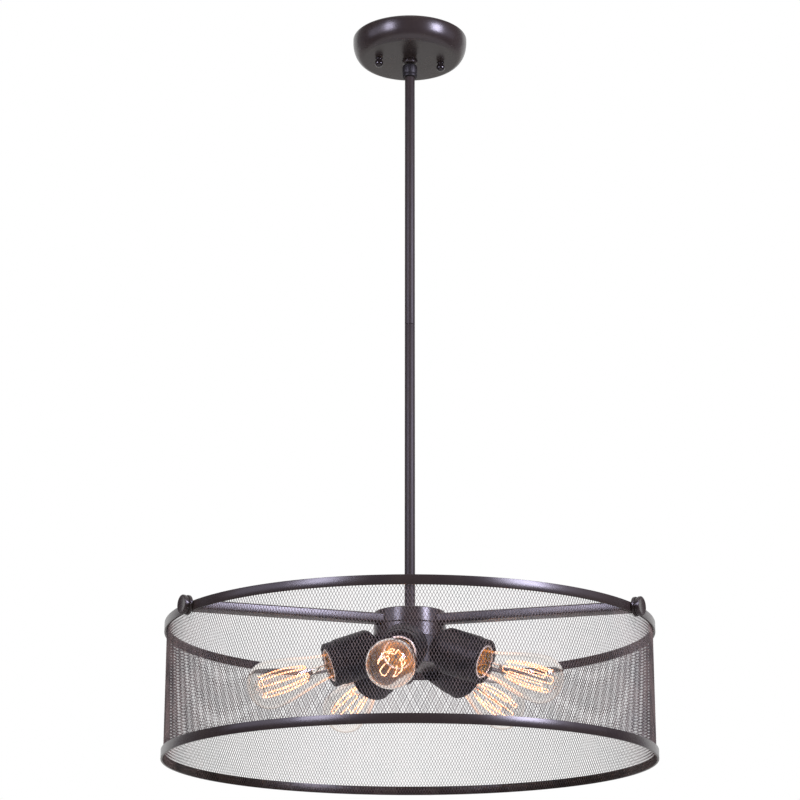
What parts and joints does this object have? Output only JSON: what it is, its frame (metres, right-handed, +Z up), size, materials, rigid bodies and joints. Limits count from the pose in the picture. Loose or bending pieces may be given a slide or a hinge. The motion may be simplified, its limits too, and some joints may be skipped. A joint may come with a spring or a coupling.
{
  "type": "drum chandelier",
  "caption": "Hanging light with a round expanded metal drum on three arms, a hub of tilted sockets with clear filament bulbs, a jointed stem, a swivel and a domed canopy.",
  "frame": {"origin": "on the ceiling surface, at the middle of the canopy's rim and of the crossbar's upper face", "axes": "+Z points up into the ceiling; the stem hangs along -Z, and one arm points one degree off +Y"},
  "size_m": [0.508, 0.5169, 0.8106],
  "materials": {
    "dark_bronze": "satin dark bronze, rubbed lighter on edges",
    "mesh": "satin dark bronze on expanded metal",
    "black_socket": "matte black",
    "lampholder": "gold-brown lining with a pale rim",
    "brass": "bright screw shell",
    "bulb_glass": "clear glass",
    "filament": "glowing filament on a glass stem",
    "steel": "zinc plated",
    "wire": "insulated supply wire"
  },
  "bodies": {
    "ceiling_bracket": {"crossbar": "steel", "canopy_stud_left": "steel", "canopy_stud_right": "steel", "swivel_ball_stud": "dark_bronze", "canopy": "dark_bronze"},
    "ball_nut_left": {"ball_nut_left": "dark_bronze"},
    "ball_nut_right": {"ball_nut_right": "dark_bronze"},
    "swivel_seat": {"swivel_seat": "steel"},
    "stem": {"swivel_barrel": "dark_bronze", "upper_rod": "dark_bronze", "rod_joiner": "steel", "lower_rod": "dark_bronze", "stem_wire": "wire", "arm_hub": "dark_bronze", "socket_hub": "dark_bronze", "hickey": "steel", "hub_cover": "dark_bronze", "finial": "dark_bronze", "top_band": "dark_bronze", "bottom_band": "dark_bronze", "mesh_wall": "mesh", "arm_1": "dark_bronze", "arm_2": "dark_bronze", "arm_3": "dark_bronze", "knob_stud_1": "steel", "knob_stud_2": "steel", "knob_stud_3": "steel", "socket_cup_1": "black_socket", "socket_cup_2": "black_socket", "socket_cup_3": "black_socket", "socket_cup_4": "black_socket", "socket_cup_5": "black_socket", "lampholder_1": "lampholder", "lampholder_2": "lampholder", "lampholder_3": "lampholder", "lampholder_4": "lampholder", "lampholder_5": "lampholder"},
    "knob_1": {"knob_1": "dark_bronze"},
    "knob_2": {"knob_2": "dark_bronze"},
    "knob_3": {"knob_3": "dark_bronze"},
    "bulb_1_contact": {"bulb_contact_1": "steel"},
    "bulb_2_contact": {"bulb_contact_2": "steel"},
    "bulb_3_contact": {"bulb_contact_3": "steel"},
    "bulb_4_contact": {"bulb_contact_4": "steel"},
    "bulb_5_contact": {"bulb_contact_5": "steel"},
    "bulb_1": {"bulb_base_1": "brass", "bulb_glass_1": "bulb_glass", "bulb_filament_1": "filament"},
    "bulb_2": {"bulb_base_2": "brass", "bulb_glass_2": "bulb_glass", "bulb_filament_2": "filament"},
    "bulb_3": {"bulb_base_3": "brass", "bulb_glass_3": "bulb_glass", "bulb_filament_3": "filament"},
    "bulb_4": {"bulb_base_4": "brass", "bulb_glass_4": "bulb_glass", "bulb_filament_4": "filament"},
    "bulb_5": {"bulb_base_5": "brass", "bulb_glass_5": "bulb_glass", "bulb_filament_5": "filament"}
  },
  "joints": [
    {"name": "swivel_side_tilt", "type": "hinge", "parent": "ceiling_bracket", "child": "swivel_seat", "pos_m": [0, 0, -0.037], "axis": [1, 0, 0], "range_deg": [-15, 15]},
    {"name": "swivel_front_tilt", "type": "hinge", "parent": "swivel_seat", "child": "stem", "pos_m": [0, 0, -0.037], "axis": [0, 1, 0], "range_deg": [-15, 15]},
    {"name": "ball_nut_left_turn", "type": "hinge", "parent": "ceiling_bracket", "child": "ball_nut_left", "pos_m": [-0.03445, -0.00576, -0.0306], "axis": [0, 0, 1], "continuous": true},
    {"name": "ball_nut_right_turn", "type": "hinge", "parent": "ceiling_bracket", "child": "ball_nut_right", "pos_m": [0.03445, 0.00576, -0.0306], "axis": [0, 0, 1], "continuous": true},
    {"name": "knob_1_turn", "type": "hinge", "parent": "stem", "child": "knob_1", "pos_m": [-0.00451, 0.25851, -0.6741], "axis": [-0.0175, 0.9998, 0], "continuous": true},
    {"name": "knob_2_turn", "type": "hinge", "parent": "stem", "child": "knob_2", "pos_m": [-0.22162, -0.13316, -0.6741], "axis": [-0.8572, -0.515, 0], "continuous": true},
    {"name": "knob_3_turn", "type": "hinge", "parent": "stem", "child": "knob_3", "pos_m": [0.22613, -0.12535, -0.6741], "axis": [0.8746, -0.4848, 0], "continuous": true},
    {"name": "bulb_1_travel", "type": "slide", "parent": "stem", "child": "bulb_1_contact", "axis": [-0.1194, -0.9321, -0.342], "range_m": [0, 0.0182]},
    {"name": "bulb_1_turn", "type": "hinge", "parent": "bulb_1_contact", "child": "bulb_1", "pos_m": [0, 0, -0.68216], "axis": [-0.1194, -0.9321, -0.342], "range_deg": [0, 1800]},
    {"name": "bulb_2_travel", "type": "slide", "parent": "stem", "child": "bulb_2_contact", "axis": [0.8496, -0.4016, -0.342], "range_m": [0, 0.0182]},
    {"name": "bulb_2_turn", "type": "hinge", "parent": "bulb_2_contact", "child": "bulb_2", "pos_m": [0, 0, -0.68216], "axis": [0.8496, -0.4016, -0.342], "range_deg": [0, 1800]},
    {"name": "bulb_3_travel", "type": "slide", "parent": "stem", "child": "bulb_3_contact", "axis": [0.6445, 0.6839, -0.342], "range_m": [0, 0.0182]},
    {"name": "bulb_3_turn", "type": "hinge", "parent": "bulb_3_contact", "child": "bulb_3", "pos_m": [0, 0, -0.68216], "axis": [0.6445, 0.6839, -0.342], "range_deg": [0, 1800]},
    {"name": "bulb_4_travel", "type": "slide", "parent": "stem", "child": "bulb_4_contact", "axis": [-0.4513, 0.8242, -0.342], "range_m": [0, 0.0182]},
    {"name": "bulb_4_turn", "type": "hinge", "parent": "bulb_4_contact", "child": "bulb_4", "pos_m": [0, 0, -0.68216], "axis": [-0.4513, 0.8242, -0.342], "range_deg": [0, 1800]},
    {"name": "bulb_5_travel", "type": "slide", "parent": "stem", "child": "bulb_5_contact", "axis": [-0.9234, -0.1745, -0.342], "range_m": [0, 0.0182]},
    {"name": "bulb_5_turn", "type": "hinge", "parent": "bulb_5_contact", "child": "bulb_5", "pos_m": [0, 0, -0.68216], "axis": [-0.9234, -0.1745, -0.342], "range_deg": [0, 1800]}
  ],
  "couplings": [
    {"joint": "bulb_1_travel", "follows": "bulb_1_turn", "m_per_rad": 0.00057757},
    {"joint": "bulb_2_travel", "follows": "bulb_2_turn", "m_per_rad": 0.00057757},
    {"joint": "bulb_3_travel", "follows": "bulb_3_turn", "m_per_rad": 0.00057757},
    {"joint": "bulb_4_travel", "follows": "bulb_4_turn", "m_per_rad": 0.00057757},
    {"joint": "bulb_5_travel", "follows": "bulb_5_turn", "m_per_rad": 0.00057757}
  ]
}
